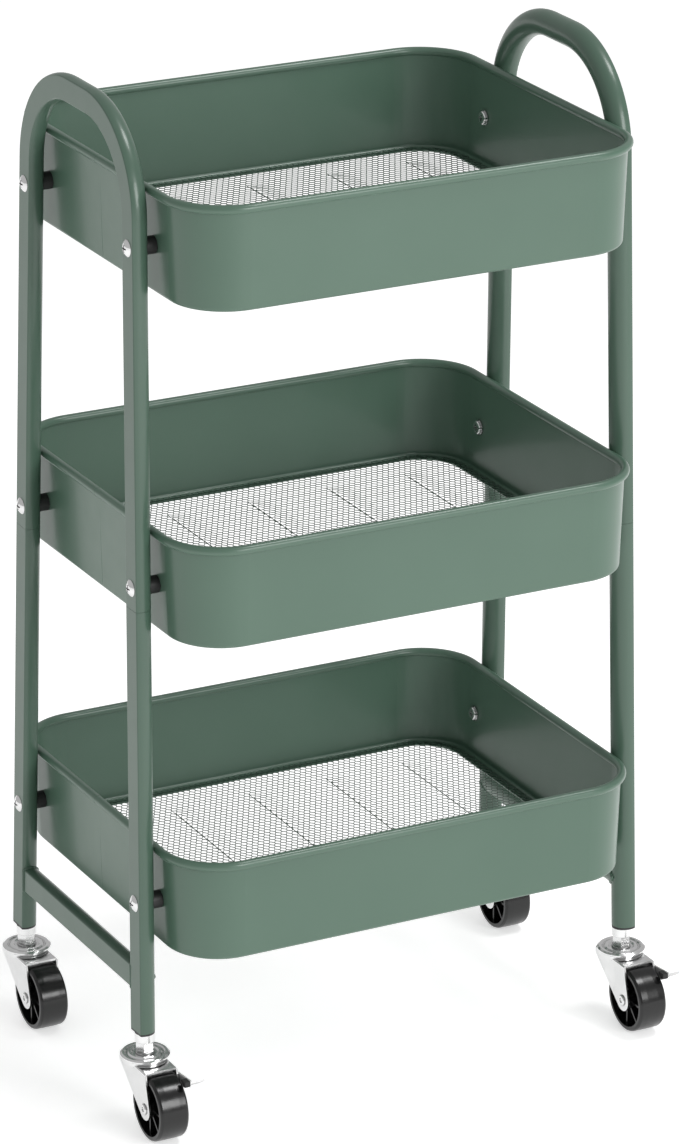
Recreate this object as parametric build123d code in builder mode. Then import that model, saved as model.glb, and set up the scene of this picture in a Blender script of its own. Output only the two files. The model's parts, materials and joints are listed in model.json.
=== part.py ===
from build123d import *
import os
from math import sqrt

# Rolling utility cart: two bent-tube end frames carry three sheet-steel baskets with
# expanded-metal floors, and stand on four swivel castors, the front two with brakes.
# Millimetres. X runs along the cart, Y across it (front is -Y), Z up, floor at Z = 0.

# ---- driving dimensions -------------------------------------------------------------
# baskets: all of one section, each tier a little longer than the one above
RIM_HALF_LENGTHS = {"bottom": 190.5, "middle": 187.1, "top": 183.5}
RIM_HALF_WIDTH = 156.5
RIM_CORNER_RADIUS = 48.0
RIM_BEAD_RADIUS = 3.3
BASKET_HEIGHT = 78.0
SHEET = 0.8
BEAD_OVERHANG = 3.8
FOOT_INSET = 6.0
FLOOR_FLANGE = 9.5
FLOOR_BEND_RADIUS = 2.6
RIM_HEIGHTS = {"bottom": 217.0, "middle": 457.0, "top": 705.0}
MESH_THICKNESS = 1.2
MESH_EDGE_INSET = 9.2

# end frames, which lean in towards the top, their legs splayed towards the bottom
FLAT_FACE_X = 205.5
FLAT_REFERENCE_Z = 217.0
FRAME_LEAN = 0.0143
TUBE_RADIUS = 9.75
TUBE_FLAT = 4.85
TUBE_WALL = 1.2
TUBE_CORNER = 1.2
POST_HALF_SPACING = 86.2
POST_REFERENCE_Z = 663.0
POST_SPLAY = 0.0306
POST_FOOT_Z = 75.0
FRAME_JOINT_Z = 399.0
HANDLE_CENTRE_Z = 750.0
HANDLE_BEND = 70.0
CROSSBAR_Z = 114.5
CROSSBAR_INSET = 0.8
SLEEVE_HALF_LENGTH = 28.0

# fasteners
BOLT_DROP = 42.0
BOLT_RADIUS = 2.5
BOLT_HEAD_RADIUS = 6.2
BOLT_HEAD_HEIGHT = 2.6
NUT_HEAD_RADIUS = 6.2
NUT_BARREL_RADIUS = 3.3
SPACER_RADIUS = 6.5
SEAT_GAP = 0.15
HOLE_GAP = 0.25

# castors
WHEEL_RADIUS = 25.0
WHEEL_HALF_WIDTH = 11.3
CASTOR_TRAIL = 26.0
LEG_INNER = 11.8
LEG_OUTER = 13.3
AXLE_RADIUS = 3.0
STEM_RADIUS = 4.0
CAP_RADIUS = 18.3
FORK_TOP_Z = 53.2
FORK_PLATE = 1.6
BRAKE_PIVOT_Y = -19.0
BRAKE_PIVOT_Z = 43.0
BRAKE_TAB_X = 25.5
RUNNING_GAP = 0.06

# the model is centred in X on its whole width: the left raceway caps reach CAP_RADIUS
# beyond their stems, and the right brake tab reaches BRAKE_TAB_X beyond its own
FOOT_FLAT_X = FLAT_FACE_X + FRAME_LEAN * (FLAT_REFERENCE_Z - POST_FOOT_Z)
STEM_X = FOOT_FLAT_X - TUBE_FLAT - 2.45
SHIFT_X = (CAP_RADIUS - BRAKE_TAB_X) / 2

SIDES = {"left": -1, "right": 1}
ENDS = {"front": -1, "rear": 1}
TIERS = ("top", "middle", "bottom")
os.makedirs("parts", exist_ok=True)


def save(name, *pieces):
    """Shifts finished pieces into the cart's frame, names the node and writes it."""
    shift = Location((SHIFT_X, 0, 0))
    solids = [solid.moved(shift) for piece in pieces for solid in piece.solids()]
    node = solids[0] if len(solids) == 1 else Compound(solids)
    node.label = name
    export_step(node, f"parts/{name}.step")


def post_y(z):
    """Distance of a post's centre line from the middle of the cart at height z."""
    return POST_HALF_SPACING + POST_SPLAY * (POST_REFERENCE_Z - z)


def flat_x(z):
    """Distance of a frame's flat outer face from the middle of the cart at height z."""
    return FLAT_FACE_X + FRAME_LEAN * (FLAT_REFERENCE_Z - z)


def bolt_z(tier):
    """Height of a tier's four screws."""
    return RIM_HEIGHTS[tier] - BOLT_DROP


def wall_x(tier):
    """Outer face of a tier's end wall at the height of its screws."""
    lean = (FOOT_INSET - BEAD_OVERHANG) / BASKET_HEIGHT
    return RIM_HALF_LENGTHS[tier] - BEAD_OVERHANG - lean * BOLT_DROP


def tube_section(plane, inset):
    """Outline of the flat-sided round tube, its flat towards the plane's local +X."""
    radius = TUBE_RADIUS - inset
    flat = TUBE_FLAT - inset
    with BuildSketch(plane) as section:
        Circle(radius)
        with Locations((flat + radius, 0)):
            Rectangle(2 * radius, 4 * radius, mode=Mode.SUBTRACT)
        fillet(section.vertices(), max(TUBE_CORNER - inset / 2, 0.3))
    return section.sketch


def post_plane(side, end, z):
    """Plane across a post at height z, local X outwards, normal up along the post."""
    origin = (side * (flat_x(z) - TUBE_FLAT), end * post_y(z), z)
    up_the_post = (-side * FRAME_LEAN, -end * POST_SPLAY, 1)
    return Plane(origin=origin, x_dir=(side, 0, FRAME_LEAN), z_dir=up_the_post)


def across(side, x, y, z):
    """Plane facing outwards along X on one side of the cart."""
    return Plane(origin=(side * x, y, z), x_dir=(0, side, 0), z_dir=(side, 0, 0))


def screw_hole(side, end, tier):
    """Plane inside a post, from which the tier's screw hole is cut outwards."""
    z = bolt_z(tier)
    return across(side, flat_x(z) - 20, end * post_y(z), z)


# ---- end frames: an upper arch and two lower posts on each side ----------------------
def build_upper_frame(side):
    """Arch of tube: up one leg, over the handle and down the other leg."""
    start_z = FRAME_JOINT_Z + 0.1
    start_x = side * (flat_x(start_z) - TUBE_FLAT)
    start_y = post_y(start_z)
    corner_x = side * (flat_x(HANDLE_CENTRE_Z) - TUBE_FLAT)
    corner_y = post_y(HANDLE_CENTRE_Z)
    with BuildPart() as frame:
        with BuildLine() as arch:
            FilletPolyline(
                (start_x, -start_y, start_z),
                (corner_x, -corner_y, HANDLE_CENTRE_Z),
                (corner_x, corner_y, HANDLE_CENTRE_Z),
                (start_x, start_y, start_z),
                radius=HANDLE_BEND,
            )
        mouth = Plane(origin=arch.line @ 0, x_dir=(side, 0, FRAME_LEAN), z_dir=arch.line % 0)
        sweep(tube_section(mouth, 0), path=arch.line)
        sweep(tube_section(mouth, TUBE_WALL), path=arch.line, mode=Mode.SUBTRACT)
        for tier in ("top", "middle"):
            for end in ENDS.values():
                with BuildSketch(screw_hole(side, end, tier)):
                    Circle(BOLT_RADIUS + HOLE_GAP)
                extrude(amount=25, mode=Mode.SUBTRACT)
    return frame.part


def build_lower_post(side, end):
    """Straight length of the same tube from the frame joint down to the castor."""
    length = (FRAME_JOINT_Z - 0.1 - POST_FOOT_Z) * sqrt(1 + POST_SPLAY**2 + FRAME_LEAN**2)
    foot = post_plane(side, end, POST_FOOT_Z)
    with BuildPart() as post:
        extrude(tube_section(foot, 0), amount=length)
        extrude(tube_section(foot, TUBE_WALL), amount=length, mode=Mode.SUBTRACT)
        with BuildSketch(screw_hole(side, end, "bottom")):
            Circle(BOLT_RADIUS + HOLE_GAP)
        extrude(amount=25, mode=Mode.SUBTRACT)
    return post.part


def build_crossbar(side):
    """Tube between the two lower posts, its ends coped to their sides."""
    x = side * (flat_x(CROSSBAR_Z) - TUBE_FLAT - CROSSBAR_INSET)
    middle = Plane(origin=(x, 0, CROSSBAR_Z), x_dir=(side, 0, FRAME_LEAN), z_dir=(0, 1, 0))
    reach = post_y(CROSSBAR_Z)
    with BuildPart() as bar:
        extrude(tube_section(middle, 0), amount=reach, both=True)
        extrude(tube_section(middle, TUBE_WALL), amount=reach, both=True, mode=Mode.SUBTRACT)
        for end in ENDS.values():
            post = tube_section(post_plane(side, end, POST_FOOT_Z), -0.05)
            extrude(post, amount=100, mode=Mode.SUBTRACT)
    return bar.part


def build_joint_sleeve(side, end):
    """Inner sleeve that joins an upper leg to its lower post, held by a middle screw."""
    plane = post_plane(side, end, FRAME_JOINT_Z - SLEEVE_HALF_LENGTH)
    length = 2 * SLEEVE_HALF_LENGTH
    with BuildPart() as sleeve:
        extrude(tube_section(plane, TUBE_WALL + 0.15), amount=length)
        extrude(tube_section(plane, 2 * TUBE_WALL + 0.15), amount=length, mode=Mode.SUBTRACT)
        with BuildSketch(screw_hole(side, end, "middle")):
            Circle(BOLT_RADIUS + HOLE_GAP)
        extrude(amount=25, mode=Mode.SUBTRACT)
    return sleeve.part


def build_end_plug(side, end):
    """Plastic plug in a post's foot with a thin flange and a bore for the castor stem."""
    foot = post_plane(side, end, POST_FOOT_Z)
    stem = Plane.XY.offset(60)
    with BuildPart() as plug:
        extrude(tube_section(foot, 0.1), amount=-1.5)
        extrude(tube_section(foot, TUBE_WALL + 0.15), amount=24)
        with BuildSketch(stem):
            with Locations((side * STEM_X, end * post_y(POST_FOOT_Z))):
                Circle(STEM_RADIUS + 0.05)
        extrude(amount=50, mode=Mode.SUBTRACT)
    return plug.part


# ---- baskets -------------------------------------------------------------------------
def wall_profile(plane):
    """Section of the basket: floor flange, bend, leaning wall and open rolled bead.

    The plane's origin lies on the corner's axis at the basket's foot, local X outwards.
    """
    foot = RIM_CORNER_RADIUS - FOOT_INSET - SHEET / 2
    brow = RIM_CORNER_RADIUS - BEAD_OVERHANG - SHEET / 2
    bead_x = RIM_CORNER_RADIUS - RIM_BEAD_RADIUS
    bead_y = BASKET_HEIGHT - RIM_BEAD_RADIUS
    top_y = bead_y - RIM_BEAD_RADIUS + SHEET - 0.1
    with BuildSketch(plane) as profile:
        with BuildLine():
            FilletPolyline(
                (foot - FLOOR_FLANGE, SHEET / 2),
                (foot, SHEET / 2),
                (brow, top_y),
                radius=FLOOR_BEND_RADIUS,
            )
        trace(line_width=SHEET)
        with Locations((bead_x, bead_y)):
            Circle(RIM_BEAD_RADIUS)
            Circle(RIM_BEAD_RADIUS - SHEET, mode=Mode.SUBTRACT)
        with Locations((bead_x, bead_y)):
            Polygon((0, 0), (0.2, -6), (1.9, -6), align=None, mode=Mode.SUBTRACT)
    return profile.sketch


def build_basket(tier):
    """Pressed tray: four straight walls and four quarter-turn corners of one section."""
    foot_z = RIM_HEIGHTS[tier] - BASKET_HEIGHT
    cx = RIM_HALF_LENGTHS[tier] - RIM_CORNER_RADIUS
    cy = RIM_HALF_WIDTH - RIM_CORNER_RADIUS
    z = bolt_z(tier)
    with BuildPart() as basket:
        for s in (-1, 1):
            end_wall = Plane(origin=(s * cx, 0, foot_z), x_dir=(s, 0, 0), z_dir=(0, -s, 0))
            side_wall = Plane(origin=(0, s * cy, foot_z), x_dir=(0, s, 0), z_dir=(s, 0, 0))
            extrude(wall_profile(end_wall), amount=cy, both=True)
            extrude(wall_profile(side_wall), amount=cx, both=True)
        for s, e in ((1, 1), (-1, 1), (-1, -1), (1, -1)):
            origin = (s * cx, e * cy, foot_z)
            corner = wall_profile(Plane(origin=origin, x_dir=(s, 0, 0), z_dir=(0, -s, 0)))
            revolve(corner, axis=Axis(origin, (0, 0, s * e)), revolution_arc=90)
        for side in SIDES.values():
            for end in ENDS.values():
                with BuildSketch(across(side, wall_x(tier) - 10, end * post_y(z), z)):
                    Circle(NUT_BARREL_RADIUS + 0.2)
                extrude(amount=12, mode=Mode.SUBTRACT)
    return basket.part


def build_mesh_floor(tier):
    """Expanded-metal floor, as its outer slab, lying on the basket's flange."""
    z = RIM_HEIGHTS[tier] - BASKET_HEIGHT + SHEET + 0.05
    with BuildPart() as mesh:
        with BuildSketch(Plane.XY.offset(z)):
            RectangleRounded(
                2 * (RIM_HALF_LENGTHS[tier] - MESH_EDGE_INSET),
                2 * (RIM_HALF_WIDTH - MESH_EDGE_INSET),
                RIM_CORNER_RADIUS - MESH_EDGE_INSET,
            )
        extrude(amount=MESH_THICKNESS)
    return mesh.part


# ---- fasteners: one screw, sleeve nut and spacer at each post and tier ---------------
def build_screw(side, end, tier):
    """Truss-head machine screw with a cross recess, driven from outside the post."""
    z = bolt_z(tier)
    y = end * post_y(z)
    head = across(side, flat_x(z) + SEAT_GAP, y, z)
    dome = (BOLT_HEAD_RADIUS**2 + BOLT_HEAD_HEIGHT**2) / (2 * BOLT_HEAD_HEIGHT)
    with BuildPart() as screw:
        with BuildSketch(Plane(origin=head.origin, x_dir=(0, 1, 0), z_dir=(0, 0, 1))):
            with BuildLine():
                Line((0, 0), (BOLT_HEAD_RADIUS, 0))
                RadiusArc((BOLT_HEAD_RADIUS, 0), (0, side * -BOLT_HEAD_HEIGHT), side * dome)
                Line((0, side * -BOLT_HEAD_HEIGHT), (0, 0))
            make_face()
        revolve(axis=Axis(head.origin, (side, 0, 0)), revolution_arc=360)
        with BuildSketch(head):
            Circle(BOLT_RADIUS)
        extrude(amount=-21.5)
        with BuildSketch(head.offset(BOLT_HEAD_HEIGHT + 0.5)):
            Rectangle(6.0, 1.3)
            Rectangle(1.3, 6.0)
        extrude(amount=-2.0, taper=8, mode=Mode.SUBTRACT)
    return screw.part


def build_sleeve_nut(side, end, tier):
    """Domed nut inside the basket, its barrel passing out through wall and spacer."""
    z = bolt_z(tier)
    y = end * post_y(z)
    face = wall_x(tier) - SHEET - 0.25
    seat = across(side, face, y, z)
    inward = across(-side, -face, y, z)
    with BuildPart() as nut:
        with BuildSketch(inward):
            Circle(NUT_HEAD_RADIUS)
        extrude(amount=1.0)
        with BuildSketch(inward.offset(1.0)):
            Circle(NUT_HEAD_RADIUS - 0.9)
        extrude(amount=1.9)
        fillet(nut.edges().filter_by(GeomType.CIRCLE).sort_by(Axis.X)[0 if side > 0 else -1], 1.2)
        with BuildSketch(seat):
            Circle(NUT_BARREL_RADIUS)
        extrude(amount=5.2)
        with BuildSketch(seat.offset(5.2)):
            Circle(BOLT_RADIUS + 0.08)
        extrude(amount=-6.6, mode=Mode.SUBTRACT)
        with BuildSketch(inward.offset(3.2)):
            Rectangle(5.0, 1.2)
            Rectangle(1.2, 5.0)
        extrude(amount=-1.0, mode=Mode.SUBTRACT)
    return nut.part


def build_spacer(side, end, tier):
    """Plastic collar that holds the basket's wall off the round back of the post."""
    z = bolt_z(tier)
    y = end * post_y(z)
    start = across(side, wall_x(tier) + 0.4, y, z)
    with BuildPart() as spacer:
        with BuildSketch(start):
            Circle(SPACER_RADIUS)
        extrude(amount=10)
        with BuildSketch(start):
            Circle(NUT_BARREL_RADIUS + 0.2)
        extrude(amount=12, mode=Mode.SUBTRACT)
        extrude(tube_section(post_plane(side, end, z - 12), -0.05), amount=24, mode=Mode.SUBTRACT)
    return spacer.part


# ---- castors -------------------------------------------------------------------------
def build_castor_stem(side, end):
    """Fixed stem: stud up into the post, collar, hexagon, and a pin riveted below."""
    x = side * STEM_X
    y = end * post_y(POST_FOOT_Z)
    with BuildPart() as stem:
        with BuildSketch(Plane.XY.offset(51.6)):
            with Locations((x, y)):
                Circle(5.8)
        extrude(amount=1.5)
        with BuildSketch(Plane.XY.offset(53.1)):
            with Locations((x, y)):
                Circle(STEM_RADIUS)
        extrude(amount=43)
        with BuildSketch(Plane.XY.offset(56.65)):
            with Locations((x, y)):
                Circle(7.0)
        extrude(amount=1.8)
        with BuildSketch(Plane.XY.offset(58.45)):
            with Locations((x, y)):
                RegularPolygon(radius=7.2, side_count=6)
        extrude(amount=8.3)
        with BuildSketch(Plane.XY.offset(66.75)):
            with Locations((x, y)):
                Circle(7.35)
        extrude(amount=6.3)
        top_edge = stem.edges().filter_by(GeomType.CIRCLE).sort_by(Axis.Z)[-1]
        chamfer(top_edge, 0.8)
    return stem.part


def build_raceway_cap(side, end):
    """Fixed dished disc over the ball track, with two pressed rings."""
    x = side * STEM_X
    y = end * post_y(POST_FOOT_Z)
    with BuildPart() as cap:
        with BuildSketch(Plane(origin=(x, y, 0), x_dir=(1, 0, 0), z_dir=(0, -1, 0))):
            with BuildLine():
                Polyline(
                    (STEM_RADIUS + 0.05, 55.5),
                    (STEM_RADIUS + 0.05, 56.6),
                    (9.0, 56.6),
                    (10.2, 57.6),
                    (12.0, 57.6),
                    (13.2, 56.4),
                    (14.0, 56.4),
                    (15.0, 57.4),
                    (16.8, 57.4),
                    (CAP_RADIUS, 56.4),
                    (CAP_RADIUS, 55.5),
                    close=True,
                )
            make_face()
        revolve(axis=Axis((x, y, 0), (0, 0, 1)), revolution_arc=360)
    return cap.part


def build_fork(side, end):
    """Swivelling fork: dished top plate and two legs that taper back to the axle."""
    x = side * STEM_X
    y = end * post_y(POST_FOOT_Z)
    braked = end < 0
    with BuildPart() as fork:
        for s in (-1, 1):
            leg = Plane(origin=(x + s * LEG_INNER, y, 0), x_dir=(0, 1, 0), z_dir=(1, 0, 0))
            with BuildSketch(leg):
                with BuildLine():
                    Polyline(
                        (15.5, FORK_TOP_Z),
                        (15.5, 48.0),
                        (-27.0, 49.0),
                        (-27.0, FORK_TOP_Z),
                        close=True,
                    )
                    CenterArc((-CASTOR_TRAIL, WHEEL_RADIUS), 8.5, 0, 360)
                make_hull()
            extrude(amount=s * (LEG_OUTER - LEG_INNER))
        with BuildSketch(Plane.XY.offset(FORK_TOP_Z - FORK_PLATE)):
            with Locations((x, y - 5.75)):
                Rectangle(2 * LEG_OUTER, 42.5)
        extrude(amount=FORK_PLATE)
        shoulders = fork.edges().filter_by(Axis.Y).group_by(Axis.Z)[-1]
        fillet(shoulders, 1.4)
        with BuildSketch(Plane.XY.offset(FORK_TOP_Z - FORK_PLATE)):
            with Locations((x, y)):
                Circle(16.6)
        extrude(amount=FORK_PLATE + 1.9)
        crown = fork.edges().filter_by(GeomType.CIRCLE).group_by(Axis.Z)[-1]
        fillet(crown, 0.8)
        with BuildSketch(Plane.XY.offset(FORK_TOP_Z - FORK_PLATE)):
            with Locations((x, y)):
                Circle(10.5)
        extrude(amount=2.1, mode=Mode.SUBTRACT)
        with BuildSketch(Plane.XY.offset(FORK_TOP_Z - FORK_PLATE)):
            with Locations((x, y)):
                Circle(STEM_RADIUS + RUNNING_GAP)
        extrude(amount=10, mode=Mode.SUBTRACT)
        with BuildSketch(Plane(origin=(x - 20, y - CASTOR_TRAIL, WHEEL_RADIUS), z_dir=(1, 0, 0))):
            Circle(AXLE_RADIUS + 0.03)
        extrude(amount=40, mode=Mode.SUBTRACT)
        if braked:
            pivot = (x, y + BRAKE_PIVOT_Y, BRAKE_PIVOT_Z)
            with BuildSketch(Plane(origin=pivot, z_dir=(1, 0, 0))):
                Circle(2.03)
            extrude(amount=20, mode=Mode.SUBTRACT)
    return fork.part


def build_axle(side, end):
    """Riveted axle through both legs and the wheel, with a dimpled head at each end."""
    x = side * STEM_X
    y = end * post_y(POST_FOOT_Z) - CASTOR_TRAIL
    with BuildPart() as axle:
        with BuildSketch(Plane(origin=(x, y, WHEEL_RADIUS), z_dir=(1, 0, 0))):
            Circle(AXLE_RADIUS)
        extrude(amount=LEG_OUTER + 0.5, both=True)
        for s in (-1, 1):
            head = Plane(origin=(x + s * (LEG_OUTER + 0.03), y, WHEEL_RADIUS), z_dir=(s, 0, 0))
            with BuildSketch(head):
                Circle(4.1)
            extrude(amount=1.3)
            with BuildSketch(head.offset(1.3)):
                Circle(2.0)
            extrude(amount=-0.6, taper=20, mode=Mode.SUBTRACT)
        rims = axle.edges().filter_by(GeomType.CIRCLE).filter_by(lambda e: abs(e.radius - 4.1) < 0.01)
        outer = rims.sort_by(Axis.X)
        chamfer([outer[0], outer[-1]], 0.5)
    return axle.part


def build_wheel(side, end):
    """Moulded wheel: crowned tread, deep ribbed recess each side, and a long hub."""
    x = side * STEM_X
    y = end * post_y(POST_FOOT_Z) - CASTOR_TRAIL
    w = WHEEL_HALF_WIDTH
    r = WHEEL_RADIUS
    with BuildPart() as wheel:
        with BuildSketch(Plane(origin=(x, y, r), x_dir=(1, 0, 0), z_dir=(0, 1, 0))):
            with BuildLine():
                Polyline(
                    (-w, 21.0), (-w, r - 1.9), (-w + 0.6, r - 0.8), (-w + 1.9, r - 0.2), (-4.5, r),
                    (4.5, r), (w - 1.9, r - 0.2), (w - 0.6, r - 0.8), (w, r - 1.9), (w, 21.0),
                    (2.4, 20.0), (1.5, 8.0), (w, 7.0), (w, AXLE_RADIUS + RUNNING_GAP),
                    (-w, AXLE_RADIUS + RUNNING_GAP), (-w, 7.0), (-1.5, 8.0), (-2.4, 20.0),
                    close=True,
                )
            make_face()
        revolve(axis=Axis((x, y, r), (1, 0, 0)), revolution_arc=360)
        with BuildSketch(Plane(origin=(x, y, r), z_dir=(1, 0, 0))):
            with PolarLocations(13.9, 8):
                Rectangle(14.0, 1.6)
        extrude(amount=w - 2.5, both=True)
    return wheel.part


def build_brake_pin(side):
    """Short rivet on the fork's outer leg that carries the brake lever."""
    x = side * STEM_X
    y = -post_y(POST_FOOT_Z) + BRAKE_PIVOT_Y
    with BuildPart() as pin:
        with BuildSketch(Plane(origin=(x + LEG_INNER + 0.05, y, BRAKE_PIVOT_Z), z_dir=(1, 0, 0))):
            Circle(2.0)
        extrude(amount=4.1)
        with BuildSketch(Plane(origin=(x + LEG_INNER + 3.65, y, BRAKE_PIVOT_Z), z_dir=(1, 0, 0))):
            Circle(3.6)
        extrude(amount=1.2)
        chamfer(pin.edges().filter_by(GeomType.CIRCLE).sort_by(Axis.X)[-1], 0.4)
    return pin.part


def build_brake_lever(side):
    """Pressed lever: arm beside the leg and a foot tab that rises to the outside."""
    x = side * STEM_X
    y = -post_y(POST_FOOT_Z)
    near = LEG_OUTER + 0.35
    with BuildPart() as lever:
        with BuildSketch(Plane(origin=(x + near, y, 0), x_dir=(0, 1, 0), z_dir=(1, 0, 0))):
            with BuildLine():
                CenterArc((BRAKE_PIVOT_Y, BRAKE_PIVOT_Z), 4.6, 0, 360)
                Line((-38.0, 41.2), (-47.5, 47.4))
                Line((-47.5, 47.4), (-46.5, 50.6))
            make_hull()
        extrude(amount=1.4)
        with BuildSketch(Plane(origin=(x + near, y, 0), x_dir=(0, 1, 0), z_dir=(1, 0, 0))):
            Polygon(
                (-37.2, 42.0), (-47.5, 48.7), (-46.7, 50.0), (-36.4, 43.3),
                align=None,
            )
        extrude(amount=BRAKE_TAB_X - near)
        tab_end = lever.faces().sort_by(Axis.X)[-1].edges()
        chamfer(tab_end, 0.3)
        with BuildSketch(Plane(origin=(x, y + BRAKE_PIVOT_Y, BRAKE_PIVOT_Z), z_dir=(1, 0, 0))):
            Circle(2.0 + RUNNING_GAP)
        extrude(amount=30, mode=Mode.SUBTRACT)
    return lever.part


def build_brake_shoe(side):
    """Rubber shoe on the inside of the lever, curved to the tread it presses on."""
    x = side * STEM_X
    y = -post_y(POST_FOOT_Z)
    start = 9.4
    with BuildPart() as shoe:
        with BuildSketch(Plane(origin=(x + start, y, 0), x_dir=(0, 1, 0), z_dir=(1, 0, 0))):
            Polygon(
                (-40.0, 46.0), (-47.4, 46.4), (-47.4, 50.4), (-40.5, 50.4),
                align=None,
            )
            with Locations((-CASTOR_TRAIL, WHEEL_RADIUS)):
                Circle(WHEEL_RADIUS + 2.6, mode=Mode.SUBTRACT)
        extrude(amount=LEG_OUTER + 0.33 - start)
    return shoe.part


# ---- write every piece ----------------------------------------------------------------
for side_name, side in SIDES.items():
    save(f"{side_name}_upper_frame", build_upper_frame(side))
    save(f"{side_name}_crossbar", build_crossbar(side))
    for end_name, end in ENDS.items():
        corner = f"{end_name}_{side_name}"
        save(f"lower_post_{corner}", build_lower_post(side, end))
        save(f"castor_fork_{corner}", build_fork(side, end))
        save(f"castor_axle_{corner}", build_axle(side, end))
        save(f"castor_wheel_{corner}", build_wheel(side, end))
    save(f"brake_pin_front_{side_name}", build_brake_pin(side))
    save(f"brake_lever_front_{side_name}", build_brake_lever(side))
    save(f"brake_shoe_front_{side_name}", build_brake_shoe(side))

CORNERS = [(side, end) for side in SIDES.values() for end in ENDS.values()]
for tier in TIERS:
    save(f"{tier}_basket", build_basket(tier))
    save(f"{tier}_mesh_floor", build_mesh_floor(tier))
    save(f"{tier}_screws", *[build_screw(side, end, tier) for side, end in CORNERS])
    save(f"{tier}_sleeve_nuts", *[build_sleeve_nut(side, end, tier) for side, end in CORNERS])
    save(f"{tier}_spacers", *[build_spacer(side, end, tier) for side, end in CORNERS])
save("frame_joint_sleeves", *[build_joint_sleeve(side, end) for side, end in CORNERS])
save("post_end_plugs", *[build_end_plug(side, end) for side, end in CORNERS])
save("castor_stems", *[build_castor_stem(side, end) for side, end in CORNERS])
save("castor_raceway_caps", *[build_raceway_cap(side, end) for side, end in CORNERS])

print("shift in X", round(SHIFT_X, 3), "stem x", round(STEM_X, 3))
print("post y at foot", round(post_y(POST_FOOT_Z), 3))
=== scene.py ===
# %% [markdown]
# # A rolling utility cart
# Two bent-tube end frames carry three sheet-steel baskets, and four swivel castors carry
# the lot. This lesson dresses them: it adds what a solid modeller leaves out
# (expanded-metal floors, welds, seams), gives every part a finish, and sets up a white
# studio.

# %% Load the solid parts
import json
import math
import bmesh
import bpy
import numpy as np
from mathutils import Matrix, Vector


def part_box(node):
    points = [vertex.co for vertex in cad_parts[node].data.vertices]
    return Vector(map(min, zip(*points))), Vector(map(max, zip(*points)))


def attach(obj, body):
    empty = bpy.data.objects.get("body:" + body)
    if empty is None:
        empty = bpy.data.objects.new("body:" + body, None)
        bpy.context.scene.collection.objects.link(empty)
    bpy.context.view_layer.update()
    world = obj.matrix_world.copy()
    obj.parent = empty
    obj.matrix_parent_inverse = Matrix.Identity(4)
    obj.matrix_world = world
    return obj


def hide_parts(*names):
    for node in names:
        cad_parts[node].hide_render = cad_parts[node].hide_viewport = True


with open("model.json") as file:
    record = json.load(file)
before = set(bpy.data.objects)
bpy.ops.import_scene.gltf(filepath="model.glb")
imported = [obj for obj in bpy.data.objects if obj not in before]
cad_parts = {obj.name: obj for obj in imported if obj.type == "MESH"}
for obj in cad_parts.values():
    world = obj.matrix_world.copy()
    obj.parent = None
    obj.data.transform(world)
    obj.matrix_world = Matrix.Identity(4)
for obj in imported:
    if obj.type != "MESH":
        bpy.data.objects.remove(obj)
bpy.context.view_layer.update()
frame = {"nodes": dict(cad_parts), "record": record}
nodes = frame["nodes"]
MM = 0.001

# %% [markdown]
# ## The camera
# The camera stands a few metres off and has a long lens, so that upright posts stay nearly
# parallel. It looks from the front left and a little above. A camera looks along its own
# -Z, so the matrix below is built from three unit vectors: right, up and back. Roll turns
# the first two about the line of sight.

# %% Place the camera
CAMERA_PLACE = Vector((-1.6861, -3.2455, 1.7645))
CAMERA_YAW = math.radians(27.5706)
CAMERA_PITCH = math.radians(21.0168)
CAMERA_ROLL = math.radians(0.2399)
LENS = 166.72
SENSOR_WIDTH = 36
VIEW_DEPTH = 100

forward = Vector((
    math.sin(CAMERA_YAW) * math.cos(CAMERA_PITCH),
    math.cos(CAMERA_YAW) * math.cos(CAMERA_PITCH),
    -math.sin(CAMERA_PITCH),
))
level = Vector((math.cos(CAMERA_YAW), -math.sin(CAMERA_YAW), 0))
upward = level.cross(forward)
right = math.cos(CAMERA_ROLL) * level + math.sin(CAMERA_ROLL) * upward
up = -math.sin(CAMERA_ROLL) * level + math.cos(CAMERA_ROLL) * upward

camera_data = bpy.data.cameras.new("studio_camera")
camera_data.lens = LENS
camera_data.sensor_width = SENSOR_WIDTH
camera_data.clip_end = VIEW_DEPTH
camera = bpy.data.objects.new("studio_camera", camera_data)
turned = Matrix((right, up, -forward)).transposed().to_4x4()
camera.matrix_world = Matrix.Translation(CAMERA_PLACE) @ turned
bpy.context.scene.collection.objects.link(camera)
bpy.context.scene.camera = camera
bpy.context.scene.view_settings.view_transform = "Standard"
print("camera", tuple(round(c, 3) for c in CAMERA_PLACE), "lens", LENS)

# %% [markdown]
# ## The studio
# Painted metal shows mostly what is round it: a white sweep on every side gives the long
# soft sheen on the baskets. The room's own light is white, a soft box overhead lifts the
# rims, and a wider one at the front keeps the long walls from going flat.

# %% Floor, room light and soft boxes
FLOOR_SPAN = 60.0
ROOM_STRENGTH = 0.52
LAMP_TARGET = Vector((0, 0, 0.4))
# Each lamp has a place and a width in metres, and a power in watts.
LAMPS = {
    "overhead_box": ((1.2, -0.6, 2.9), 0.8, 26),
    "front_box": ((0.9, -3.2, 1.5), 1.4, 50),
}


def floor_sheet(span):
    """A square in the plane Z = 0, its corners at plus and minus half the span."""
    corners = np.array([(-1, -1, 0), (1, -1, 0), (1, 1, 0), (-1, 1, 0)]) * span / 2
    mesh = bpy.data.meshes.new("studio_floor")
    mesh.from_pydata(corners.tolist(), [], [(0, 1, 2, 3)])
    return mesh


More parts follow.
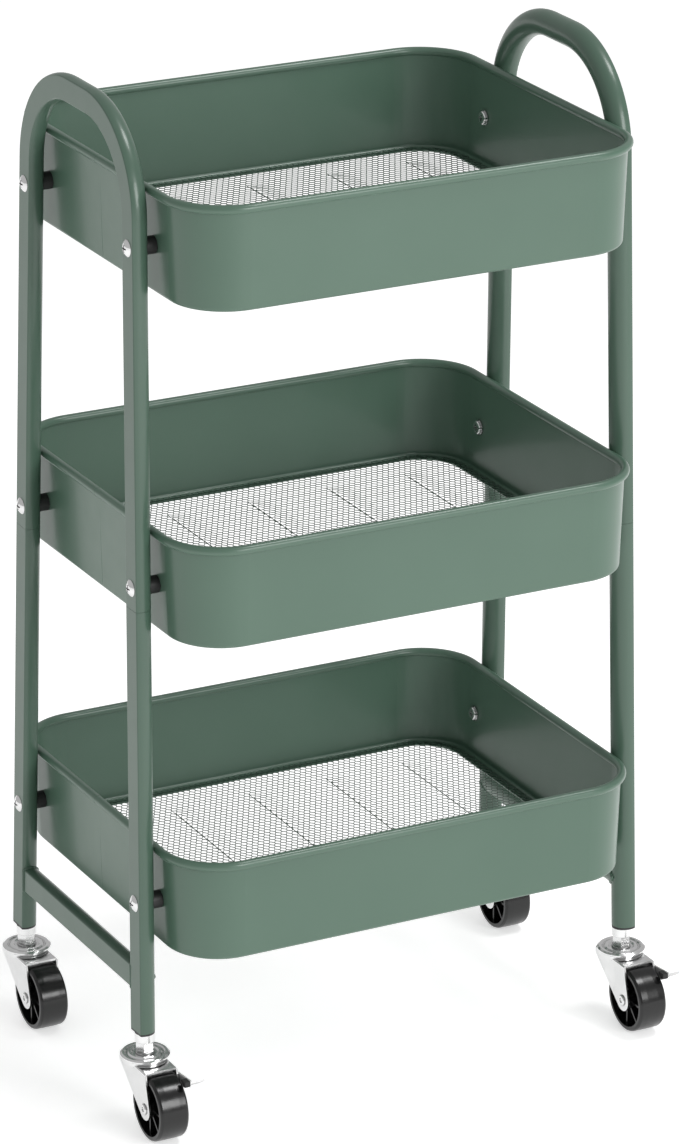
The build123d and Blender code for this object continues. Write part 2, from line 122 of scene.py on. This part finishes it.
def soft_box(name, place, size, watts):
    """A square lamp at place, turned so that its -Z points at the lamp target."""
    data = bpy.data.lights.new(name, "AREA")
    data.size = size
    data.energy = watts
    lamp = bpy.data.objects.new(name, data)
    lamp.location = place
    line_of_light = LAMP_TARGET - Vector(place)
    lamp.rotation_euler = line_of_light.to_track_quat("-Z", "Y").to_euler()
    bpy.context.scene.collection.objects.link(lamp)


world = bpy.data.worlds.new("studio_room")
world.use_nodes = True
room = world.node_tree.nodes["Background"]
room.inputs["Color"].default_value = (1, 1, 1, 1)
room.inputs["Strength"].default_value = ROOM_STRENGTH
bpy.context.scene.world = world
for name, (place, size, watts) in LAMPS.items():
    soft_box(name, place, size, watts)
floor = bpy.data.objects.new("studio_floor", floor_sheet(FLOOR_SPAN))
bpy.context.scene.collection.objects.link(floor)
print("studio with", len(LAMPS), "lamps")

# %% [markdown]
# ## Finishes
# Every finish here starts as one shader and some noise read in the part's own coordinates,
# so that the pattern stays on the part when it moves. Each helper adds one trait: colour
# that drifts between two shades, roughness that wanders, shade painted into crevices, or a
# fine relief. Noise seldom leaves 0.3 to 0.7, so the drifts spread that range over their
# own.

# %% Helpers that build a finish
GRAIN_LOW = 0.3
GRAIN_HIGH = 0.7


def new_finish(name, metallic, roughness, specular=0.5):
    """A material with one Principled shader; returns the material and that shader."""
    material = bpy.data.materials.new(name)
    material.use_nodes = True
    shader = material.node_tree.nodes["Principled BSDF"]
    shader.inputs["Metallic"].default_value = metallic
    shader.inputs["Roughness"].default_value = roughness
    shader.inputs["Specular IOR Level"].default_value = specular
    return material, shader


def noise(material, per_metre, detail=2.0, stretch=(1, 1, 1)):
    """Noise with per_metre blotches to the metre, times stretch along each axis."""
    tree = material.node_tree
    place = tree.nodes.new("ShaderNodeTexCoord")
    turn = tree.nodes.new("ShaderNodeMapping")
    turn.inputs["Scale"].default_value = stretch
    texture = tree.nodes.new("ShaderNodeTexNoise")
    texture.inputs["Scale"].default_value = per_metre
    texture.inputs["Detail"].default_value = detail
    tree.links.new(place.outputs["Object"], turn.inputs["Vector"])
    tree.links.new(turn.outputs["Vector"], texture.inputs["Vector"])
    return texture.outputs["Fac"]


def drift_colour(material, shader, grain, dark, light):
    """Base colour runs from dark to light between the two grain limits."""
    ramp = material.node_tree.nodes.new("ShaderNodeValToRGB")
    ends = ramp.color_ramp.elements
    ends[0].position, ends[0].color = GRAIN_LOW, (*dark, 1)
    ends[1].position, ends[1].color = GRAIN_HIGH, (*light, 1)
    material.node_tree.links.new(grain, ramp.inputs["Fac"])
    material.node_tree.links.new(ramp.outputs["Color"], shader.inputs["Base Color"])


def drift_roughness(material, shader, grain, low, high):
    """Roughness runs from low to high between the two grain limits."""
    spread = material.node_tree.nodes.new("ShaderNodeMapRange")
    spread.inputs["From Min"].default_value = GRAIN_LOW
    spread.inputs["From Max"].default_value = GRAIN_HIGH
    spread.inputs["To Min"].default_value = low
    spread.inputs["To Max"].default_value = high
    material.node_tree.links.new(grain, spread.inputs["Value"])
    material.node_tree.links.new(spread.outputs["Result"], shader.inputs["Roughness"])


def paint_crevice_shade(material, shader, reach, amount):
    """Painted shade: multiplies the colour by how open the surface is within reach, in
    metres.
    """
    tree = material.node_tree
    open_sky = tree.nodes.new("ShaderNodeAmbientOcclusion")
    open_sky.inputs["Distance"].default_value = reach
    shade = tree.nodes.new("ShaderNodeMix")
    shade.data_type = "RGBA"
    shade.blend_type = "MULTIPLY"
    shade.inputs["Factor"].default_value = amount
    colour = shader.inputs["Base Color"].links[0].from_socket
    tree.links.new(colour, shade.inputs["A"])
    tree.links.new(open_sky.outputs["Color"], shade.inputs["B"])
    tree.links.new(shade.outputs["Result"], shader.inputs["Base Color"])


def relief(material, shader, grain, height, strength):
    """Bump of the given height in metres where the grain rises from 0 to 1."""
    bump = material.node_tree.nodes.new("ShaderNodeBump")
    bump.inputs["Distance"].default_value = height
    bump.inputs["Strength"].default_value = strength
    material.node_tree.links.new(grain, bump.inputs["Height"])
    material.node_tree.links.new(bump.outputs["Normal"], shader.inputs["Normal"])


print("helpers ready")

# %% [markdown]
# ### Powder coat
# The green is a satin powder coat. Powder melts into a film with a faint orange peel, one
# to two millimetres from bump to bump, and its colour drifts a very little from place to
# place. The frame and the mesh floors take the same powder with shade painted in: the
# frame's copy is a little darker, and the copy on the thin strands much darker.

# %% The green powder coats
SAGE_DARK = (0.070, 0.131, 0.093)
SAGE_LIGHT = (0.078, 0.142, 0.102)
SATIN = (0.29, 0.34)
PEEL_PER_METRE = 700.0
PEEL_HEIGHT = 0.00006
# Painted shade: the frame and the mesh are darker copies of the baskets' green.
SHADE_TINTS = {"frame": 0.82, "basket": 1.0, "mesh": 0.6}


def powder_coat(name, shade_tint):
    """Green times shade_tint (painted shade): drifting colour, wandering roughness, orange
    peel.
    """
    material, shader = new_finish(name, 0.0, 0.3)
    shader.inputs["Coat Weight"].default_value = 0.15
    shader.inputs["Coat Roughness"].default_value = 0.1
    dark = [c * shade_tint for c in SAGE_DARK]
    light = [c * shade_tint for c in SAGE_LIGHT]
    drift_colour(material, shader, noise(material, 9.0, 4.0), dark, light)
    drift_roughness(material, shader, noise(material, 60.0, 3.0), *SATIN)
    relief(material, shader, noise(material, PEEL_PER_METRE, 1.5), PEEL_HEIGHT, 0.10)
    return material


finishes = {
    f"{where}_paint": powder_coat(f"{where}_powder_coat", shade_tint)
    for where, shade_tint in SHADE_TINTS.items()
}
print(sorted(finishes))

# %% [markdown]
# ### Plated metals
# The screws are bright plated, the castors are zinc plated, and the brake tabs and plain
# steel are duller. Plating is metal with a low roughness; what tells one from another is
# its grey, how sharp its reflection is, and the fine marks of rolling or polishing. All of
# them have shade painted into their crevices, reaching furthest in the screws' recesses.

# %% The plated metals
# How far the painted shade reaches: in crevices, and in the screws' deeper recesses.
CREVICE_SHADE_REACH = 0.0016
RECESS_SHADE_REACH = 0.003
MARK_HEIGHT = 0.00003


def plated(name, greys, gloss, stretch, marks, reach=CREVICE_SHADE_REACH, metallic=1.0):
    """
    Metal whose grey and roughness wander between the two ends of greys and of gloss. Its
    fine marks, as strong as marks says, are drawn out by stretch, and shade is painted into
    its crevices within reach, in metres.
    """
    material, shader = new_finish(name, metallic, sum(gloss) / 2)
    dark, light = [(grey,) * 3 for grey in greys]
    drift_colour(material, shader, noise(material, 60.0, 2.0), dark, light)
    # Painted shade: the colour goes dark in crevices within reach.
    paint_crevice_shade(material, shader, reach, 0.95)
    drift_roughness(material, shader, noise(material, 240.0, 4.0), *gloss)
    relief(material, shader, noise(material, 500.0, 3.0, stretch), MARK_HEIGHT, marks)
    return material


finishes["chrome_screws"] = plated(
    "bright_plate", (0.74, 0.84), (0.10, 0.16), (1, 1, 1), 0.05, reach=RECESS_SHADE_REACH)
finishes["zinc"] = plated("bright_zinc", (0.72, 0.82), (0.16, 0.24), (1, 1, 3), 0.06)
finishes["lever_zinc"] = plated(
    "dull_zinc", (0.50, 0.58), (0.34, 0.44), (1, 3, 1), 0.06, metallic=0.35)
finishes["plain_steel"] = plated(
    "drawn_steel", (0.40, 0.48), (0.30, 0.42), (1, 1, 0.1), 0.08)
print(sorted(finishes))

# %% [markdown]
# ### Plastics and rubber
# The wheels are glossy moulded plastic, a little scuffed; the post plugs and spacers are
# matter plastic with a spark-eroded grain; the brake shoes are dull rubber.

# %% The black mouldings
def moulded(name, shade, gloss, per_metre, height):
    """
    Black moulding: colour within 15 % of shade, roughness between the two ends of gloss,
    and a grain of that height with per_metre grains to the metre.
    """
    material, shader = new_finish(name, 0.0, sum(gloss) / 2)
    dark, light = (shade * 0.85,) * 3, (shade * 1.15,) * 3
    drift_colour(material, shader, noise(material, 50.0, 3.0), dark, light)
    drift_roughness(material, shader, noise(material, 150.0, 5.0), *gloss)
    relief(material, shader, noise(material, per_metre, 2.0), height, 0.2)
    return material


finishes["wheel_plastic"] = moulded("wheel_plastic", 0.004, (0.18, 0.26), 300.0, 0.00002)
finishes["black_plastic"] = moulded("grained_plastic", 0.014, (0.42, 0.55), 1500.0, 0.00005)
finishes["black_rubber"] = moulded("shoe_rubber", 0.018, (0.65, 0.80), 1200.0, 0.00006)
print(sorted(finishes))

# %% [markdown]
# ### Give every solid its finish
# The record says which material slot each part belongs to, so one loop does it all.

# %% Assign by slot
def wear(piece, slot):
    """Puts the slot's finish in every material place of the piece."""
    if not piece.material_slots:
        piece.data.materials.append(finishes[slot])
    for place in piece.material_slots:
        place.material = finishes[slot]


for part in frame["record"]["subparts"]:
    wear(nodes[part["node"]], part["material_slot"])

# %% [markdown]
# ### The studio floor
# White paper, with a little light of its own so that it fades into the room behind.

# %% The floor's own finish
FLOOR_GLOW = 0.5

floor_material, floor_shader = new_finish("studio_paper", 0.0, 0.8, 0.2)
paper_grain = noise(floor_material, 3.0)
drift_colour(floor_material, floor_shader, paper_grain, (0.90,) * 3, (0.92,) * 3)
floor_shader.inputs["Emission Color"].default_value = (1, 1, 1, 1)
floor_shader.inputs["Emission Strength"].default_value = FLOOR_GLOW
floor.data.materials.append(floor_material)
print("floor finished")

# %% [markdown]
# ## Expanded-metal floors
# Expanded metal is a sheet that was slit and pulled, so it is made of zigzag strands that
# run the long way of the diamonds and touch their neighbours at short straight bonds. The
# slitting tilts every strand: it stands low at one bond and high at the next. Cutting
# thousands of diamonds out of a plate would be slow and look flat. Here each strand is one
# ribbon with a four-cornered section, carried along its zigzag, and all the ribbons of a
# floor are computed as one array: strand number by station number by corner. Stations
# come in pairs, one at each end of a bond, so bonds stay straight.
#
# Each floor also has pressed stiffening creases across it: a steep little step, then a
# slope that dies out over 15 mm.

# %% Measures of the mesh
TIERS = ("bottom", "middle", "top")
HALF_PITCH_X = 2.4 * MM
HALF_PITCH_Y = 4.52 * MM
BOND_HALF = 0.75 * MM
STRAND_WIDTH = 0.48 * MM
STRAND_DEPTH = 0.46 * MM
STRAND_TILT = math.radians(32)
STRAND_SWING = 0.85
STRAND_LIFT = 0.20 * MM
CREASE_PLACES = np.array((-142.0, -75.5, -9.0, 58.0, 125.0)) * MM
CREASE_HEIGHT = 1.3 * MM
CREASE_STEP = 0.9 * MM
CREASE_SLOPE = 15.0 * MM
CREASE_REAR = 110.0 * MM
CREASE_FRONT = -138.0 * MM
CREASE_FADE = 12.0 * MM
FLOOR_CORNER = 38.0 * MM
print("diamond", 2 * HALF_PITCH_X / MM, "by", 2 * HALF_PITCH_Y / MM, "mm")


# %% Outline and creases
def inside_outline(x, y, half_x, half_y, corner):
    """True where the distance past the inner corner rectangle is less than the radius."""
    past_x = np.maximum(np.abs(x) - (half_x - corner), 0)
    past_y = np.maximum(np.abs(y) - (half_y - corner), 0)
    return np.hypot(past_x, past_y) < corner


def crease_lift(x, y, middle_x):
    """Sum over the creases of a short rise and a long fall, faded out at both ends."""
    from_crease = x[..., None] - middle_x - CREASE_PLACES
    rise = np.clip(from_crease / CREASE_STEP, 0, 1)
    fall = np.clip(1 - (from_crease - CREASE_STEP) / CREASE_SLOPE, 0, 1)
    rear_fade = np.clip((CREASE_REAR - y) / CREASE_FADE, 0, 1)
    front_fade = np.clip((y - CREASE_FRONT) / CREASE_FADE, 0, 1)
    return CREASE_HEIGHT * (rise * fall).sum(-1) * (rear_fade * front_fade)


def mesh_from_arrays(name, points, quads):
    """A mesh of the points that the quads use, with the unused points left out."""
    used, renumbered = np.unique(quads, return_inverse=True)
    mesh = bpy.data.meshes.new(name)
    mesh.from_pydata(points[used].tolist(), [], renumbered.reshape(-1, 4).tolist())
    mesh.validate()
    return mesh


print("outline and creases ready")


# %% One floor of expanded metal
def expanded_floor(name, lowest, highest):
    """
    Strand i lies between node columns i and i + 1; at node row j it is on the column whose
    number added to j is even. x follows that zigzag, z is high on one side and low on the
    other, and the section is a rectangle tilted about the strand's long way.
    """
    half_x = (highest.x - lowest.x) / 2
    half_y = (highest.y - lowest.y) / 2
    middle_x = (highest.x + lowest.x) / 2
    columns = int(2 * half_x / HALF_PITCH_X)
    rows = int(2 * half_y / HALF_PITCH_Y)
    strand = np.arange(columns)[:, None]
    row = np.repeat(np.arange(rows), 2)[None, :]
    bond_end = np.tile((-1, 1), rows)[None, :]
    side = (strand + row) % 2
    x = (strand + 0.5 - columns / 2 + STRAND_SWING * (side - 0.5)) * HALF_PITCH_X
    y = (row + 0.5 - rows / 2) * HALF_PITCH_Y + bond_end * BOND_HALF + 0 * strand
    inside = inside_outline(x, y, half_x - STRAND_WIDTH / 2, half_y, FLOOR_CORNER)
    z = (highest.z + lowest.z) / 2 + STRAND_LIFT * (2 * side - 1)
    x = x + middle_x
    z = z + crease_lift(x, y, middle_x)
    across = np.array((-1, 1, 1, -1)) * STRAND_WIDTH / 2
    down = np.array((-1, -1, 1, 1)) * STRAND_DEPTH / 2
    turned_x = across * math.cos(STRAND_TILT) - down * math.sin(STRAND_TILT)
    turned_z = across * math.sin(STRAND_TILT) + down * math.cos(STRAND_TILT)
    points = np.stack(np.broadcast_arrays(
        x[..., None] + turned_x, y[..., None], z[..., None] + turned_z), -1)
    number = np.arange(points[..., 0].size).reshape(points.shape[:3])
    joined = inside[:, 1:] & inside[:, :-1]
    here, there = number[:, :-1][joined], number[:, 1:][joined]
    sides = [np.stack((here[:, a], here[:, b], there[:, b], there[:, a]), -1)
             for a, b in ((0, 1), (1, 2), (2, 3), (3, 0))]
    padded = np.pad(joined, ((0, 0), (1, 1)))
    starts = number[padded[:, 1:] & ~padded[:, :-1]][:, ::-1]
    ends = number[padded[:, :-1] & ~padded[:, 1:]]
    quads = np.concatenate(sides + [starts, ends])
    return mesh_from_arrays(name, points.reshape(-1, 3), quads)


for tier in TIERS:
    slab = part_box(f"{tier}_mesh_floor")
    strands = expanded_floor(f"{tier}_expanded_floor", *slab)
    panel = bpy.data.objects.new(f"{tier}_expanded_floor", strands)
    bpy.context.scene.collection.objects.link(panel)
    wear(panel, "mesh_paint")
    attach(panel, "cart")
    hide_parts(f"{tier}_mesh_floor")
    print(panel.name, len(panel.data.polygons), "quads")

# %% [markdown]
# ## Pressed crease lines
# Along the steep side of each crease the press crushed the strands into a thin upright
# line. It is a narrow ribbon from the rear of the crease to the front, and its height
# waves once per row of diamonds, where it meets a bond and then a gap.

# %% A ribbon or bead carried along a path
def carried_section(name, path, first, second, outline, closed):
    """
    One mesh of several runs. At every path point stands an outline of corners (u, v), and
    a corner lies at path point plus u times first plus v times second, which are unit
    vectors. A closed path joins its end to its start; an open one is capped.
    """
    runs, stations, corners = len(path), path.shape[1], outline.shape[-2]
    points = (path[:, :, None] + outline[..., :1] * first[:, :, None]
              + outline[..., 1:] * second[:, :, None]).reshape(-1, 3)
    number = np.arange(len(points)).reshape(runs, stations, corners)
    ahead = np.roll(number, -1, 1) if closed else number[:, 1:]
    here = number if closed else number[:, :-1]
    quads = np.stack((here, np.roll(here, -1, 2), np.roll(ahead, -1, 2), ahead), -1)
    caps = [] if closed else number[:, 0, ::-1].tolist() + number[:, -1].tolist()
    mesh = bpy.data.meshes.new(name)
    mesh.from_pydata(points.tolist(), [], quads.reshape(-1, 4).tolist() + caps)
    mesh.validate()
    outward = bmesh.new()
    outward.from_mesh(mesh)
    bmesh.ops.recalc_face_normals(outward, faces=outward.faces)
    outward.to_mesh(mesh)
    outward.free()
    return mesh


def add_piece(name, mesh, slot, body, smooth=True):
    """Links the mesh as a piece that rides on the body in the slot's finish."""
    mesh.polygons.foreach_set("use_smooth", np.full(len(mesh.polygons), smooth))
    piece = bpy.data.objects.new(name, mesh)
    bpy.context.scene.collection.objects.link(piece)
    wear(piece, slot)
    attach(piece, body)


def along(*axis):
    """A unit vector, shaped to be used at every point of every path."""
    return np.array(axis, float)[None, None, :]


# %% The crease lines of each floor
LINE_WIDTH = 0.4 * MM
LINE_HEIGHT = 0.75 * MM
LINE_WAVE = 0.2 * MM
LINE_FRONT = -136.0 * MM
LINE_STATIONS = 218
LINE_LEAST = 0.3

line_y = np.linspace(LINE_FRONT, CREASE_REAR, LINE_STATIONS)
fade = np.clip((CREASE_REAR - line_y) / CREASE_FADE, LINE_LEAST, 1)
wave = LINE_WAVE * np.cos(line_y * math.tau / (2 * HALF_PITCH_Y))
square = np.array(((-1, 0), (1, 0), (1, 1), (-1, 1)))
tall = (LINE_HEIGHT * fade + wave)[None, :, None, None] * np.array((0, 1))
line_outline = square * np.array((LINE_WIDTH / 2, 0)) + square * tall

for tier in TIERS:
    lowest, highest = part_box(f"{tier}_mesh_floor")
    middle_x = (lowest.x + highest.x) / 2
    middle_z = (lowest.z + highest.z) / 2
    line_x = middle_x + CREASE_PLACES[:, None] + 0 * line_y
    line_path = np.stack((line_x, line_y + 0 * line_x, middle_z + 0 * line_x), -1)
    lines = carried_section(f"{tier}_crease_lines", line_path,
                            along(1, 0, 0), along(0, 0, 1), line_outline, False)
    add_piece(f"{tier}_crease_lines", lines, "mesh_paint", "cart", smooth=False)
    print(lines.name, len(lines.polygons), "faces")

# %% [markdown]
# ## Seams of the baskets
# Each basket's wall is one strip of sheet bent round and butt-welded in the middle of both
# end walls, then dressed nearly flush. What stays is a flat line from bead to foot, and a
# faint collar where the rolled beads meet.

# %% Seam lines on the end walls
SEAM_HALF = 0.8 * MM
SEAM_PROUD = 0.14 * MM
WALL_INSET = 3.8 * MM
FOOT_INSET = 6.0 * MM
BEAD_RADIUS = 3.3 * MM
SEAM_START = 0.1
SEAM_END = 0.95
SEAM_STATIONS = 30
COLLAR_STATIONS = 32

seam_out = np.array((-0.5, 1, 1, -0.5, -2, -2)) * SEAM_PROUD
seam_across = np.array((-1, -0.5, 0.5, 1, 0.5, -0.5)) * SEAM_HALF
seam_outline = np.stack((seam_out, seam_across), -1)
sides = np.array((-1.0, 1.0))[:, None]
outwards = np.stack((sides, 0 * sides, 0 * sides), -1)
down_wall = np.linspace(SEAM_START, SEAM_END, SEAM_STATIONS)
turn = np.linspace(0, math.tau, COLLAR_STATIONS, endpoint=False)[None, :]
radial = np.stack((np.cos(turn), 0 * turn, np.sin(turn)), -1)

for tier in TIERS:
    lowest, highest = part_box(f"{tier}_basket")
    middle_x = (lowest.x + highest.x) / 2
    half_x = (highest.x - lowest.x) / 2
    wall = half_x - WALL_INSET - (FOOT_INSET - WALL_INSET) * down_wall
    wall_z = highest.z - (highest.z - lowest.z) * down_wall + 0 * sides
    seam_path = np.stack((middle_x + sides * wall, 0 * sides * wall, wall_z), -1)
    seams = carried_section(f"{tier}_wall_seams", seam_path,
                            outwards, along(0, 1, 0), seam_outline, False)
    add_piece(f"{tier}_wall_seams", seams, "basket_paint", "cart")
    collar_x = middle_x + sides * (half_x - BEAD_RADIUS) + BEAD_RADIUS * np.cos(turn)
    collar_z = highest.z - BEAD_RADIUS + BEAD_RADIUS * np.sin(turn) + 0 * sides
    collar_path = np.stack((collar_x, 0 * collar_x, collar_z), -1)
    collars = carried_section(f"{tier}_bead_collars", collar_path,
                              radial, along(0, 1, 0), seam_outline, True)
    add_piece(f"{tier}_bead_collars", collars, "basket_paint", "cart")
    print(tier, "seams", len(seams.polygons), "collars", len(collars.polygons), "faces")

# %% [markdown]
# ## Welds of the crossbars
# Each crossbar is coped to fit round the posts and welded all the way round. A weld bead
# is a rope with ripples that follows the line where the two tubes meet. On the crossbar's
# outline, x and z are those of its section, and y is where that point meets the post:
# the post's own y less the half width of the post at that x. The ripples make the rope up
# to an eighth thicker.

# %% Weld beads
BEAD_SIZE = 1.15 * MM
BEAD_CORNERS = 10
RIPPLES = 26
RIPPLE_HEIGHT = 0.12
RING_STATIONS = 160
TUBE_RADIUS = 9.75 * MM
TUBE_FLAT = 4.85 * MM

turn = np.linspace(0, math.tau, RING_STATIONS, endpoint=False)[None, :]
out = np.minimum(TUBE_RADIUS * np.cos(turn), TUBE_FLAT)
half_width = np.sqrt(np.maximum(TUBE_RADIUS**2 - out**2, 0))
around = np.linspace(0, math.tau, BEAD_CORNERS, endpoint=False)
size = BEAD_SIZE * (1 + RIPPLE_HEIGHT * np.abs(np.sin(turn * RIPPLES)))[..., None, None]
bead_outline = size * np.stack((np.cos(around), np.sin(around)), -1)

for side_name, side_sign in (("left", -1), ("right", 1)):
    lowest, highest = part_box(f"{side_name}_crossbar")
    flat_x = highest.x if side_sign > 0 else lowest.x
    bar_x = flat_x - side_sign * TUBE_FLAT
    bar_z = (lowest.z + highest.z) / 2
    ring_x = bar_x + side_sign * out
    ring_z = bar_z + TUBE_RADIUS * np.sin(turn)
    post = [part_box(f"lower_post_{end}_{side_name}") for end in ("front", "rear")]
    bead_runs = []
    for (low, high), end_sign in zip(post, (-1, 1)):
        foot_y = max(abs(low.y), abs(high.y)) - TUBE_RADIUS
        top_y = min(abs(low.y), abs(high.y)) + TUBE_RADIUS
        post_y = foot_y + (top_y - foot_y) * (ring_z - low.z) / (high.z - low.z)
        bead_runs.append(np.stack((ring_x, end_sign * (post_y - half_width), ring_z), -1)[0])
    path = np.array(bead_runs)
    tangent = np.roll(path, -1, 1) - np.roll(path, 1, 1)
    tangent /= np.linalg.norm(tangent, axis=-1, keepdims=True)
    first = np.cross(tangent, (0, 1, 0))
    first /= np.linalg.norm(first, axis=-1, keepdims=True)
    second = np.cross(tangent, first)
    welds = carried_section(f"{side_name}_crossbar_welds", path,
                            first, second, bead_outline, True)
    add_piece(f"{side_name}_crossbar_welds", welds, "frame_paint", "cart")
    print(welds.name, len(welds.polygons), "faces")
